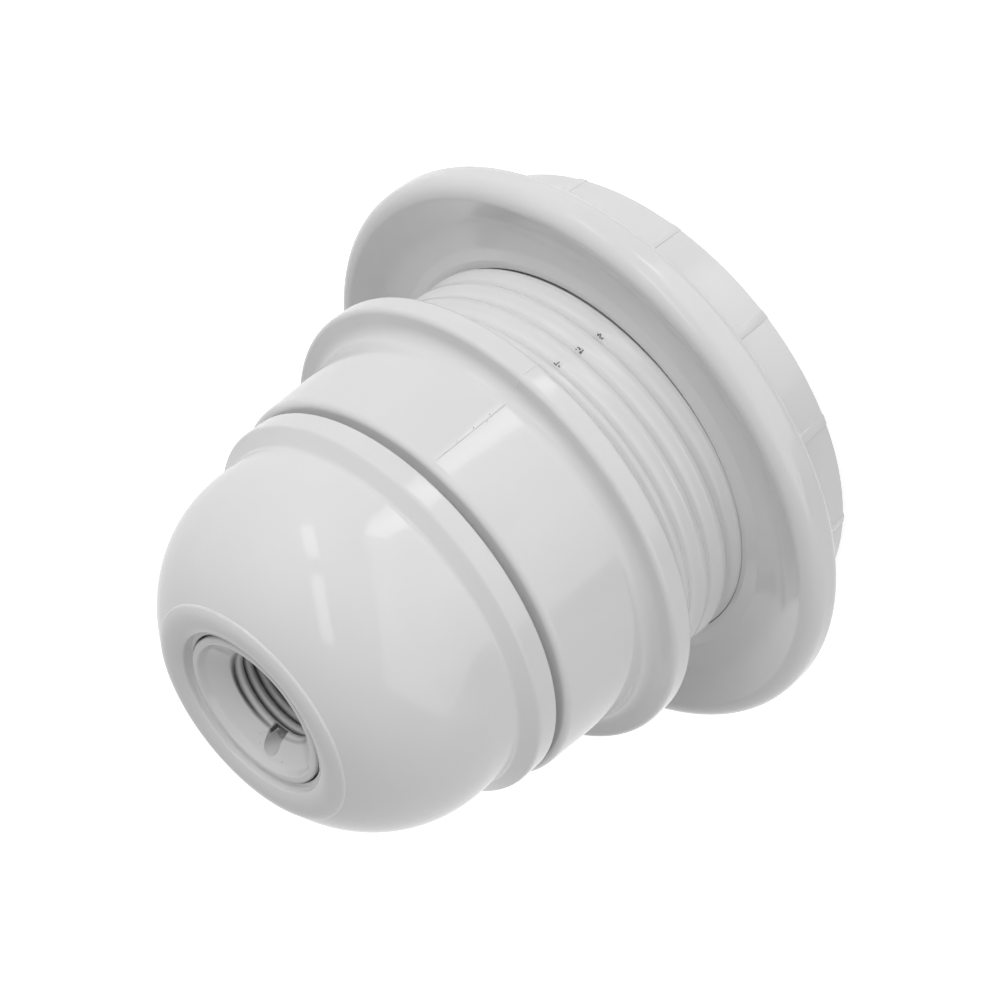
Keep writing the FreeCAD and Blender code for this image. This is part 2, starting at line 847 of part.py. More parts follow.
def make_shade_ring():
    """Ring that screws up the barrel: beaded flange, short hub and ribbed skirt."""
    body = new_body("shade_ring")
    front = size("ring_front")
    face = front - size("ring_face_drop")
    back = front - size("ring_thickness")
    hub_foot = front - size("ring_hub_length")
    skirt_foot = front - size("ring_skirt_length")
    bead_inner = ring_radius - size("ring_bead_width")
    bead_foot = bead_inner - size("ring_bead_slope")
    step_radius = ring_bore + size("ring_bore_step")
    root_radius = ring_bore + size("ring_width") * size("ring_skirt_share")
    skirt_radius = root_radius - size("ring_skirt_draft")
    skirt_bore = skirt_radius - size("ring_width") * size("ring_skirt_wall_share")
    section = outline(
        body,
        "ring_section",
        [
            (ring_bore, hub_foot),
            (skirt_bore, hub_foot),
            (skirt_bore, skirt_foot),
            (skirt_radius, skirt_foot),
            (root_radius, back),
            (ring_radius, back),
            (ring_radius, front),
            (bead_inner, front),
            (bead_foot, face),
            (step_radius, face),
            (step_radius, face + size("ring_bore_rise")),
            (ring_bore, face + size("ring_bore_rise")),
        ],
    )
    revolve(body, "ring_turned", section)
    round_edges(body, "back_round", [(ring_radius, back)], size("ring_back_round"))
    round_edges(body, "front_round", [(ring_radius, front)], size("ring_front_round"))
    round_edges(body, "crest_round", [(bead_inner, front)], size("ring_crest_round"))
    bead_round = smaller(size("ring_bead_round"), (bead_foot - step_radius) * 2)
    round_edges(body, "bead_fillet", [(bead_foot, face)], bead_round)
    rib_in = (skirt_radius + skirt_bore) / 2
    rib_section = outline(
        body,
        "rib_section",
        [
            (rib_in, skirt_foot),
            (skirt_radius + size("ring_rib_foot_rise"), skirt_foot),
            (root_radius + size("ring_rib_rise"), back),
            (rib_in, back),
        ],
    )
    rib = pad(body, "rib", rib_section, size("ring_rib_width"))
    pattern = body.newObject("PartDesign::PolarPattern", "ribs")
    pattern.Originals = [rib]
    pattern.Axis = (origin_plane(body, "Z_Axis"), [""])
    pattern.Angle = 360
    pattern.Occurrences = SIZES["ring_rib_count"]
    body.Tip = pattern
    document.recompute()
    turn_to(body, "ring_rib_angle")
    return body


sub_parts = [
    make_cap(),
    make_entry_bush(),
    make_locking_screw(),
    make_contact_block(),
    make_centre_contact(),
    make_side_contact(),
    make_rivet(),
    make_shell(),
    make_shade_ring(),
]
sub_parts += make_terminal("live", 1)
sub_parts += make_terminal("neutral", -1)
document.recompute()

for item in document.Objects:
    if "Invalid" in item.State or "Error" in item.State:
        raise ValueError(f"{item.Label} did not build: {item.State}")

for sub_part in sub_parts:
    if sub_part.Shape.isNull() or not sub_part.Shape.isValid():
        raise ValueError(f"{sub_part.Label} has no valid shape")

os.makedirs("parts", exist_ok=True)
for sub_part in sub_parts:
    sub_part.Shape.exportStep(f"parts/{sub_part.Label}.step")
    print(sub_part.Label, len(sub_part.Shape.Solids), round(sub_part.Shape.Volume, 1))
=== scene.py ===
import logging
import math
import random
from dataclasses import dataclass, field, replace
from enum import Enum
from typing import Any

import bmesh
import bpy
from bmesh.types import BMesh
from bpy.types import Material, Node, NodeSocket, NodeTree, Object
from mathutils import Matrix, Vector


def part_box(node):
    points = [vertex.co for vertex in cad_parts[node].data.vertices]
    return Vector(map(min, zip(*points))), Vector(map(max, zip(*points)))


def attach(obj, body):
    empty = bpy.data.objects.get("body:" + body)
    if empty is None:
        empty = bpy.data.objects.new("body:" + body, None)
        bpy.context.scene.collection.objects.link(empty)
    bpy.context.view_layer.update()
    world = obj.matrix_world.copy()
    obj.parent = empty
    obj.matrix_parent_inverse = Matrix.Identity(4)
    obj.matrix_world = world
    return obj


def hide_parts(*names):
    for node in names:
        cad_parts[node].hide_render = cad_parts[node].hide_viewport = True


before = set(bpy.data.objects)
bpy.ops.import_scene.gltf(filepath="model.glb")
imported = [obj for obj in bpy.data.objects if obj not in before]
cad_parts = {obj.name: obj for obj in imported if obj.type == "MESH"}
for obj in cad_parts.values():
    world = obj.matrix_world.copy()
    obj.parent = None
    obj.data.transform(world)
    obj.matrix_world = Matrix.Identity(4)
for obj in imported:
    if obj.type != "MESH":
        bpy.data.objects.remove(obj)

# Looks of a screw-base lamp holder in white moulded plastic, standing on its lamp mouth.
# Lengths in the classes are in millimetres and angles in degrees, about the upright axis.

MM = 0.001
FULL_TURN = 2 * math.pi
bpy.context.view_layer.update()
log = logging.getLogger("lamp_holder")


class Sink(Enum):
    """Which way a thread's grooves are sunk: in towards the axis, or out into a bore's wall."""

    INWARD = -1
    OUTWARD = 1


class Operation(Enum):
    """How one closed mesh is combined with another."""

    JOIN = "UNION"
    CUT = "DIFFERENCE"


class Reach(Enum):
    """What a studio lamp does to the plastic: it shades it, or it is mirrored in its gloss."""

    SHADING = "shading"
    MIRRORED = "mirrored"


def linear(code: str) -> tuple[float, float, float, float]:
    """Turns an sRGB hex colour into linear light.

    Args:
        code: Six hex digits.

    Returns:
        Red, green, blue and an alpha of 1.
    """
    parts = [int(code[place : place + 2], 16) / 255 for place in (0, 2, 4)]
    light = [part / 12.92 if part <= 0.04045 else ((part + 0.055) / 1.055) ** 2.4 for part in parts]
    return (*light, 1.0)


class Nodes:
    """The nodes of one material or world."""

    def __init__(self, tree: NodeTree) -> None:
        """Empties the node tree, so that the nodes can be added."""
        self.tree = tree
        tree.nodes.clear()

    def add(
        self,
        kind: str,
        settings: dict[Any, Any] | None = None,
        links: dict[Any, NodeSocket] | None = None,
    ) -> Node:
        """Adds one node with its settings and links.

        Args:
            kind: The node's type, without the ShaderNode before it.
            settings: Values by the name or number of an input, or by the name of an attribute.
            links: Outputs by the name or number of the input that they feed.

        Returns:
            The node.
        """
        node = self.tree.nodes.new(f"ShaderNode{kind}")
        for name, value in (settings or {}).items():
            if isinstance(name, int) or name in node.inputs:
                node.inputs[name].default_value = value
            else:
                setattr(node, name, value)
        for name, source in (links or {}).items():
            self.tree.links.new(source, node.inputs[name])
        return node

    def maths(self, operation: str, first: NodeSocket, second: NodeSocket) -> NodeSocket:
        """Combines two values by an operation such as MULTIPLY."""
        return self.add("Math", {"operation": operation}, {0: first, 1: second}).outputs[0]

    def noise(
        self, place: NodeSocket, size_mm: float, detail: float, roughness: float = 0.5
    ) -> NodeSocket:
        """Adds a cloudy texture.

        Args:
            place: The coordinates.
            size_mm: Size of its largest clouds.
            detail: How many finer layers lie over them.
            roughness: How strong each finer layer is.

        Returns:
            Its value, between 0 and 1.
        """
        settings = {"Scale": 1 / (size_mm * MM), "Detail": detail, "Roughness": roughness}
        return self.add("TexNoise", settings, {"Vector": place}).outputs["Fac"]

    def ripple(
        self,
        height: NodeSocket,
        height_mm: float,
        strength: float = 1.0,
        under: NodeSocket | None = None,
    ) -> NodeSocket:
        """Ripples the surface by a texture.

        Args:
            height: The texture's value.
            height_mm: How high it raises the surface.
            strength: How much of it shows.
            under: The normal that it is laid over, where there is one.

        Returns:
            The new normal.
        """
        links = {"Height": height} | ({} if under is None else {"Normal": under})
        settings = {"Strength": strength, "Distance": height_mm * MM}
        return self.add("Bump", settings, links).outputs["Normal"]

    def surface(self, settings: dict[str, float], links: dict[str, NodeSocket]) -> None:
        """Ends a material in its shader, with the shader's settings and links."""
        shader = self.add("BsdfPrincipled", settings, links)
        self.add("OutputMaterial", {}, {"Surface": shader.outputs["BSDF"]})


def new_material(name: str) -> tuple[Material, Nodes]:
    """Makes a material with this name and no nodes yet."""
    material = bpy.data.materials.new(name)
    material.use_nodes = True
    return material, Nodes(material.node_tree)


@dataclass(frozen=True)
class MouldedPlastic:
    """Glossy injection-moulded thermoplastic.

    The polished mould gives a clear, slightly wavy gloss; melt flow leaves faint cloudy changes
    of tone, and handling leaves fine scuffs that only dull the gloss.
    """

    name: str
    light_hex: str
    dark_hex: str
    roughness: float = 0.07
    scuffed_roughness: float = 0.15
    ior: float = 1.50
    cloud_mm: float = 9.0
    wave_mm: float = 5.0
    wave_height_mm: float = 0.012
    peel_mm: float = 0.55
    peel_height_mm: float = 0.0018
    scuff_mm: float = 1.6
    scuff_stretch: float = 0.18
    scuff_from: float = 0.52
    scuff_full: float = 0.78

    def material(self) -> Material:
        """Builds the material from clouds of tone, scuffs and two sizes of ripple."""
        material, nodes = new_material(self.name)
        place = nodes.add("TexCoord").outputs["Object"]
        upright = {"Scale": (1.0, 1.0, self.scuff_stretch)}
        stretch = nodes.add("Mapping", upright, {"Vector": place}).outputs["Vector"]
        dulling = nodes.add(
            "MapRange",
            {
                "From Min": self.scuff_from,
                "From Max": self.scuff_full,
                "To Min": self.roughness,
                "To Max": self.scuffed_roughness,
            },
            {"Value": nodes.noise(stretch, self.scuff_mm, detail=5.0, roughness=0.7)},
        )
        wavy = nodes.ripple(nodes.noise(place, self.wave_mm, detail=1.0), self.wave_height_mm)
        peel = nodes.noise(place, self.peel_mm, detail=2.0)
        links = {
            "Base Color": self.tone(nodes, place),
            "Roughness": dulling.outputs["Result"],
            "Normal": nodes.ripple(peel, self.peel_height_mm, under=wavy),
        }
        nodes.surface({"IOR": self.ior}, links)
        return material

    def tone(self, nodes: Nodes, place: NodeSocket) -> NodeSocket:
        """Colour of the plastic, clouded by the flow of the melt.

        Args:
            nodes: The material's nodes.
            place: Object coordinates.

        Returns:
            The colour.
        """
        clouded = nodes.add(
            "MixRGB",
            {"Color1": linear(self.dark_hex), "Color2": linear(self.light_hex)},
            {"Fac": nodes.noise(place, self.cloud_mm, detail=3.0, roughness=0.55)},
        )
        return clouded.outputs["Color"]


@dataclass(frozen=True)
class ThreadPlasticWithPaintedShade(MouldedPlastic):
    """The same plastic with painted shade in an upright threaded bore.

    Each pair of lengths runs from where the painted shade begins to where it is full: out from
    the crests into the grooves, just under the mouth, down the bore, and in from the clean plastic
    round it.
    """

    # Painted shade: a dark grey laid into the thread's grooves and down the bore
    painted_shade_hex: str = "4C4B49"
    groove_mm: tuple[float, float] = (4.58, 4.90)
    groove_shade: float = 0.95
    mouth_mm: tuple[float, float] = (50.5, 50.25)
    depth_mm: tuple[float, float] = (50.5, 43.0)
    depth_shade: float = 0.75
    reach_mm: tuple[float, float] = (5.4, 5.3)

    def tone(self, nodes: Nodes, place: NodeSocket) -> NodeSocket:
        """Colour with painted shade in the grooves, the darker the deeper down the bore."""
        clean = super().tone(nodes, place)
        level = nodes.add("Mapping", {"Scale": (1.0, 1.0, 0.0)}, {"Vector": place})
        length = nodes.add("VectorMath", {"operation": "LENGTH"}, {0: level.outputs[0]})
        radius = length.outputs["Value"]
        height = nodes.add("SeparateXYZ", {}, {"Vector": place}).outputs["Z"]
        groove = self.share(nodes, radius, self.groove_mm, self.groove_shade)
        inside = self.share(nodes, height, self.mouth_mm)
        depth = self.share(nodes, height, self.depth_mm, self.depth_shade)
        within = self.share(nodes, radius, self.reach_mm)
        most = nodes.maths("MAXIMUM", nodes.maths("MULTIPLY", groove, inside), depth)
        amount = nodes.maths("MULTIPLY", most, within)
        # Painted shade: dark grey mixed in over the grooves and the deep part of the bore
        shade_tone = {"Color2": linear(self.painted_shade_hex)}
        shaded_tone = nodes.add("MixRGB", shade_tone, {"Fac": amount, "Color1": clean})
        return shaded_tone.outputs["Color"]

    def share(
        self, nodes: Nodes, value: NodeSocket, stretch_mm: tuple[float, float], most: float = 1.0
    ) -> NodeSocket:
        """A factor that grows while a length runs through a stretch.

        Args:
            nodes: The material's nodes.
            value: The length, in metres.
            stretch_mm: Where the factor is 0 and where it is at its most, in millimetres.
            most: The most that it reaches.

        Returns:
            The factor.
        """
        start, end = stretch_mm
        node = nodes.add(
            "MapRange",
            {"From Min": start * MM, "From Max": end * MM, "To Max": most},
            {"Value": value},
        )
        return node.outputs["Result"]


@dataclass(frozen=True)
class WorkedMetal:
    """Small machined or rolled metal part.

    The tool leaves fine lines that spread the gloss one way, and air tarnishes it in patches.
    """

    name: str
    bright_hex: str
    dull_hex: str
    roughness: float
    tarnish_mm: float
    line_mm: float

    def material(self) -> Material:
        """Builds the material from patches of tarnish and fine tool lines."""
        material, nodes = new_material(self.name)
        place = nodes.add("TexCoord").outputs["Object"]
        tone = nodes.add(
            "MixRGB",
            {"Color1": linear(self.dull_hex), "Color2": linear(self.bright_hex)},
            {"Fac": nodes.noise(place, self.tarnish_mm, detail=4.0)},
        )
        stretch = nodes.add("Mapping", {"Scale": (1.0, 0.05, 1.0)}, {"Vector": place})
        lines = nodes.noise(stretch.outputs["Vector"], self.line_mm, detail=2.0)
        gloss = nodes.add(
            "MapRange",
            {"To Min": self.roughness * 0.7, "To Max": self.roughness * 1.4},
            {"Value": lines},
        )
        links = {
            "Base Color": tone.outputs["Color"],
            "Roughness": gloss.outputs["Result"],
            "Normal": nodes.ripple(lines, 0.004, strength=0.6),
        }
        nodes.surface({"Metallic": 1.0}, links)
        return material


# White thermoplastic: neutral white with the clear gloss of a polished mould
WHITE_PLASTIC = MouldedPlastic("white_moulded_plastic", "E2E2E2", "DCDCDC")
# The same white on the entry bush, with painted shade in its thread
BUSH_PLASTIC = ThreadPlasticWithPaintedShade("white_plastic_painted_thread_shade", "E2E2E2", "DCDCDC")
# Heat-proof thermoset of the inner block: a shade warmer and duller than the case
BLOCK_PLASTIC = MouldedPlastic(
    "cream_thermoset", "D8D3C6", "CBC5B6", roughness=0.35, scuffed_roughness=0.5
)
# Torn flash left at the mould's parting line, in dark grey
FLASH_PLASTIC = MouldedPlastic(
    "dark_grey_flash", "8E8E8C", "4A4A49", roughness=0.5, scuffed_roughness=0.7
)
# Extruded brass, machined: yellow and fairly bright
BRASS = WorkedMetal("machined_brass", "DDBE78", "B08F4E", 0.26, 2.5, 0.25)
# Rolled phosphor bronze strip: redder than brass, with lines along the strip
BRONZE = WorkedMetal("rolled_bronze_strip", "D59A68", "A8744A", 0.30, 3.0, 0.30)
# Steel with a thin zinc plating: pale blue-grey, a little cloudy
ZINC_STEEL = WorkedMetal("zinc_plated_steel", "C9CDD0", "A2A6AA", 0.32, 1.8, 0.20)


@dataclass
class Outline:
    """Half section of a turned piece, as corners of radius, height and rounding."""

    corners: list[tuple[float, float, float]] = field(default_factory=list)

    def corner(self, radius: float, height: float, rounding: float = 0.0) -> "Outline":
        """Adds a corner, rounded to the given radius."""
        self.corners.append((radius, height, rounding))
        return self

    def arc(
        self, centre: tuple[float, float], end: tuple[float, float], steps: int, rounding: float = 0.0
    ) -> "Outline":
        """Adds an arc from the last corner the short way round to its end.

        Args:
            centre: Radius and height of the arc's centre.
            end: Radius and height of its end.
            steps: How many straight steps stand for it.
            rounding: Rounding of the corner at its end.

        Returns:
            The outline itself.
        """
        radius, height, _ = self.corners[-1]
        first = math.atan2(height - centre[1], radius - centre[0])
        last = math.atan2(end[1] - centre[1], end[0] - centre[0])
        reach = math.dist((radius, height), centre)
        for step in range(1, steps + 1):
            angle = first + (last - first) * step / steps
            self.corner(
                centre[0] + reach * math.cos(angle),
                centre[1] + reach * math.sin(angle),
                rounding if step == steps else 0.0,
            )
        return self

    def rows(self, height: float, spacing: float) -> "Outline":
        """Adds a straight upright stretch that is cut into fine rows, for a thread."""
        radius, start, _ = self.corners[-1]
        count = max(1, round(abs(height - start) / spacing))
        for row in range(1, count + 1):
            self.corner(radius, start + (height - start) * row / count)
        return self

    def points(self) -> list[tuple[float, float]]:
        """Works out the points, with every rounding as an arc and support beside it.

        Returns:
            Radius and height of each point, in order.
        """
        most_of_room = 0.98
        places = [Vector(corner[:2]) for corner in self.corners]
        cuts = [self.cut(number) for number in range(len(places))]
        found: list[tuple[float, float]] = []
        for number, here in enumerate(places):
            before, after = number - 1, (number + 1) % len(places)
            if cuts[number] <= 0:
                found.append((here.x, here.y))
                continue
            ways = [places[before] - here, places[after] - here]
            rooms = [way.length - cuts[other] for way, other in zip(ways, (before, after))]
            cut = min(cuts[number], *(room * most_of_room for room in rooms))
            found += round_corner(here, ways, cut, [room - cut for room in rooms])
        return found

    def cut(self, number: int) -> float:
        """How far from a corner its rounding begins, from the number of the corner."""
        here = Vector(self.corners[number][:2])
        if self.corners[number][2] <= 0:
            return 0.0
        before = Vector(self.corners[number - 1][:2]) - here
        after = Vector(self.corners[(number + 1) % len(self.corners)][:2]) - here
        return self.corners[number][2] * math.tan((math.pi - before.angle(after)) / 2)


def round_corner(
    here: Vector, ways: list[Vector], cut: float, rooms: list[float]
) -> list[tuple[float, float]]:
    """Rounds one corner of an outline.

    Args:
        here: The corner.
        ways: From the corner to the one before it and to the one after it.
        cut: How far from the corner the arc begins and ends.
        rooms: How much straight edge is left beyond the arc, each way.

    Returns:
        The points of the arc, with one more on each side that keeps the shading flat.
    """
    steps, support = 6, 0.12
    room_for_support = 3 * support
    ways = [way.normalized() for way in ways]
    half_turn = (math.pi - ways[0].angle(ways[1])) / 2
    reach = cut / math.tan(half_turn)
    middle = here + (ways[0] + ways[1]).normalized() * math.hypot(cut, reach)
    spokes = [here + way * cut - middle for way in ways]
    arc = [
        middle + spokes[0].slerp(spokes[1], step / steps).normalized() * reach
        for step in range(steps + 1)
    ]
    if rooms[0] > room_for_support:
        arc.insert(0, here + ways[0] * (cut + support))
    if rooms[1] > room_for_support:
        arc.append(here + ways[1] * (cut + support))
    return [(point.x, point.y) for point in arc]


@dataclass(frozen=True)
class ScrewThread:
    """Right-handed thread: a groove that winds up a wall.

    The groove is a round bowl at a bowl of 2 and a pinch of 1. A higher pinch softens its edges
    and draws it in to a narrow cleft between wide, rounded crests.
    """

    sink: Sink
    crest_radius: float
    pitch: float
    start: float
    length: float
    groove_width: float
    groove_depth: float
    edge_softness: float
    bowl: float = 2.0
    pinch: float = 1.0
    run_out: float = 0.3

    def section(self, away: float) -> float:
        """Depth of the groove at a distance from its middle, before its edges are softened."""
        share = min(1.0, abs(away) / (self.groove_width / 2))
        return self.groove_depth * (1 - share**self.bowl) ** self.pinch

    def depth(self, angle: float, height: float) -> float:
        """Depth of the groove at a place on the wall.

        Args:
            angle: Angle about the axis, in radians.
            height: Height in millimetres.

        Returns:
            The depth in millimetres.
        """
        turn = (angle / FULL_TURN) % 1.0
        along = (height - self.start) / self.pitch
        wound = turn + round(along - turn)
        away = (along - wound) * self.pitch
        turns = self.length / self.pitch
        fade = min(1.0, wound / self.run_out, (turns - wound) / self.run_out)
        if fade <= 0:
            return 0.0
        samples = [self.section(away + self.edge_softness * step / 2) for step in range(-2, 3)]
        return fade * sum(samples) / len(samples)

    def cut_into(self, mesh: BMesh) -> None:
        """Sinks the thread's grooves into the rows of the wall that carries it."""
        near = 0.02
        for vert in mesh.verts:
            radius = math.hypot(vert.co.x, vert.co.y) / MM
            if abs(radius - self.crest_radius) > near:
                continue
            angle = math.atan2(vert.co.y, vert.co.x)
            depth = self.depth(angle, vert.co.z / MM)
            stretch = (radius + self.sink.value * depth) / radius
            vert.co.x *= stretch
            vert.co.y *= stretch


def turned(outline: Outline, segments: int) -> BMesh:
    """Spins an outline about the upright axis.

    Args:
        outline: The half section, a closed loop.
        segments: How many steps make the full turn.

    Returns:
        The closed mesh, in metres.
    """
    mesh = bmesh.new()
    loop = [mesh.verts.new((radius * MM, 0.0, height * MM)) for radius, height in outline.points()]
    edges = [mesh.edges.new((vert, loop[place - 1])) for place, vert in enumerate(loop)]
    about = {"cent": (0, 0, 0), "axis": (0, 0, 1), "angle": FULL_TURN}
    bmesh.ops.spin(mesh, geom=loop + edges, steps=segments, use_merge=True, **about)
    bmesh.ops.remove_doubles(mesh, verts=mesh.verts, dist=0.0005 * MM)
    bmesh.ops.recalc_face_normals(mesh, faces=mesh.faces)
    return mesh


def block(low: Vector, high: Vector, edge: float) -> BMesh:
    """A bevelled block between two corners.

    Args:
        low: Lowest corner, in millimetres.
        high: Highest corner.
        edge: Width of the bevel on every edge.

    Returns:
        The closed mesh, in metres.
    """
    mesh = bmesh.new()
    bmesh.ops.create_cube(mesh, size=1.0)
    bmesh.ops.scale(mesh, vec=(high - low) * MM, verts=mesh.verts)
    bmesh.ops.translate(mesh, vec=(high + low) / 2 * MM, verts=mesh.verts)
    form = {"affect": "EDGES", "segments": 2, "profile": 0.5, "material": -1}
    bmesh.ops.bevel(mesh, geom=mesh.edges[:], offset=edge * MM, **form)
    return mesh


def turn_about_axis(mesh: BMesh, degrees: float) -> BMesh:
    """Turns a mesh about the upright axis."""
    turn = Matrix.Rotation(math.radians(degrees), 3, "Z")
    bmesh.ops.rotate(mesh, cent=(0, 0, 0), matrix=turn, verts=mesh.verts)
    return mesh


def as_object(mesh: BMesh, name: str) -> Object:
    """Puts a mesh into a new object of the scene and frees it."""
    data = bpy.data.meshes.new(name)
    mesh.to_mesh(data)
    mesh.free()
    made = bpy.data.objects.new(name, data)
    bpy.context.scene.collection.objects.link(made)
    return made


def combined(base: BMesh, tool: BMesh, operation: Operation) -> BMesh:
    """Joins one closed mesh to another, or cuts it with it.

    Args:
        base: The mesh that is kept.
        tool: The mesh that is added or taken away.
        operation: Which of the two.

    Returns:
        The resulting mesh.
    """
    first, second = as_object(base, "combine_base"), as_object(tool, "combine_tool")
    modifier = first.modifiers.new("combine", "BOOLEAN")
    modifier.operation = operation.value
    modifier.solver = "EXACT"
    modifier.object = second
    bpy.context.view_layer.update()
    result = bmesh.new()
    result.from_object(first, bpy.context.evaluated_depsgraph_get())
    for used in (first, second):
        data = used.data
        bpy.data.objects.remove(used)
        bpy.data.meshes.remove(data)
    return result


def gathered(parts: list[BMesh]) -> BMesh:
    """Puts separate meshes into one and frees them."""
    whole = bmesh.new()
    for part in parts:
        data = bpy.data.meshes.new("part")
        part.to_mesh(data)
        part.free()
        whole.from_mesh(data)
        bpy.data.meshes.remove(data)
    return whole


@dataclass
class Piece:
    """A finished piece: its name, the body it rides on, the nodes it stands for and its slot."""

    name: str
    body: str
    stands_for: tuple[str, ...] = ()
    slot: str = "white_plastic"
    sharp_above: float = 38.0

    def finish(self, mesh: BMesh, material: Material) -> Object:
        """Shades the mesh, makes it an object and ties it to the frame.

        Args:
            mesh: The mesh, in metres; it is freed.
            material: The material.

        Returns:
            The piece's object.
        """
        for face in mesh.faces:
            face.smooth = True
        limit = math.radians(self.sharp_above)
        for edge in mesh.edges:
            edge.smooth = len(edge.link_faces) == 2 and edge.calc_face_angle() < limit
        made = as_object(mesh, self.name)
        made.data.materials.append(material)
        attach(made, self.body)
        if self.stands_for:
            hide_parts(*self.stands_for)
        log.info("%s: %d faces on %s", self.name, len(made.data.polygons), self.body)
        return made


def half_width(node: str) -> float:
    """Largest x of a node, in millimetres."""
    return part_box(node)[1].x / MM


def foot_of(node: str) -> float:
    """Lowest z of a node, in millimetres."""
    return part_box(node)[0].z / MM


def top_of(node: str) -> float:
    """Highest z of a node, in millimetres."""
    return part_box(node)[1].z / MM


@dataclass
class DomedCap:
    """Cap with its spigot, the lip over the joint, the dome and the land round the entry."""

    material: Material
    segments: int = 224
    lip_height: float = 2.1
    lip_slope: float = 1.1
    lip_above_foot: float = 7.0
    spigot_radius: float = 17.4
    spigot_bore: float = 15.5
    dome_radius: float = 17.7
    dome_spring: float = 5.9
    dome_arc: float = 12.9
    land_radius: float = 11.0
    land_crown: float = 0.4
    recess_radius: float = 8.2
    recess_depth: float = 1.04
    bush_bore: float = 7.65
    boss_radius: float = 9.55
    boss_depth: float = 8.7
    groove_width: float = 3.5
    groove_height: float = 6.65
    groove_depth: float = 1.1

    def outline(self) -> Outline:
        """Draws the half section from the spigot's foot up over the dome and back inside."""
        foot, crown = foot_of("cap"), top_of("cap")
        lip_foot = foot + self.lip_above_foot
        lip_top = lip_foot + self.lip_height
        spring = lip_foot + self.dome_spring
        land_edge = crown - self.land_crown
        recess = crown - self.recess_depth
        centre = (self.dome_radius - self.dome_arc, spring)
        dome_end = spring + math.sqrt(self.dome_arc**2 - (self.land_radius - centre[0]) ** 2)
        half_land = (self.land_radius - self.recess_radius) / 2
        bow = (half_land**2 + self.land_crown**2) / (2 * self.land_crown)
        land_centre = (self.recess_radius + half_land, crown - bow)
        inner_arc = self.spigot_bore - centre[0]
        boss_top = spring + math.sqrt(inner_arc**2 - (self.boss_radius - centre[0]) ** 2)
        lip = half_width("cap")
        shape = Outline().corner(self.spigot_radius, foot, 0.15).corner(self.spigot_radius, lip_foot)
        shape.corner(lip, lip_foot, 0.15).corner(lip, lip_top, 0.45)
        shape.corner(self.dome_radius, lip_top + self.lip_slope, 0.5)
        shape.corner(self.dome_radius, spring).arc(centre, (self.land_radius, dome_end), 40, 0.15)
        shape.corner(self.land_radius, land_edge, 0.25)
        shape.arc(land_centre, (self.recess_radius, land_edge), 12, 0.22)
        shape.corner(self.recess_radius, recess, 0.12).corner(self.bush_bore, recess, 0.1)
        shape.corner(self.bush_bore, recess - self.boss_depth, 0.1)
        shape.corner(self.boss_radius, recess - self.boss_depth, 0.1)
        shape.corner(self.boss_radius, boss_top).arc(centre, (self.spigot_bore, spring), 24)
        return shape.corner(self.spigot_bore, foot, 0.15)

    def build(self) -> None:
        """Turns the cap and cuts the two grooves inside its spigot for the block's keys."""
        body = turned(self.outline(), self.segments)
        foot = foot_of("cap")
        reach = self.spigot_bore + self.groove_depth
        low = Vector((-self.groove_width / 2, -reach, foot - 1.0))
        high = Vector((self.groove_width / 2, reach, foot + self.groove_height))
        cap = combined(body, block(low, high, 0.1), Operation.CUT)
        Piece("domed_cap", "cap", ("cap",)).finish(cap, self.material)


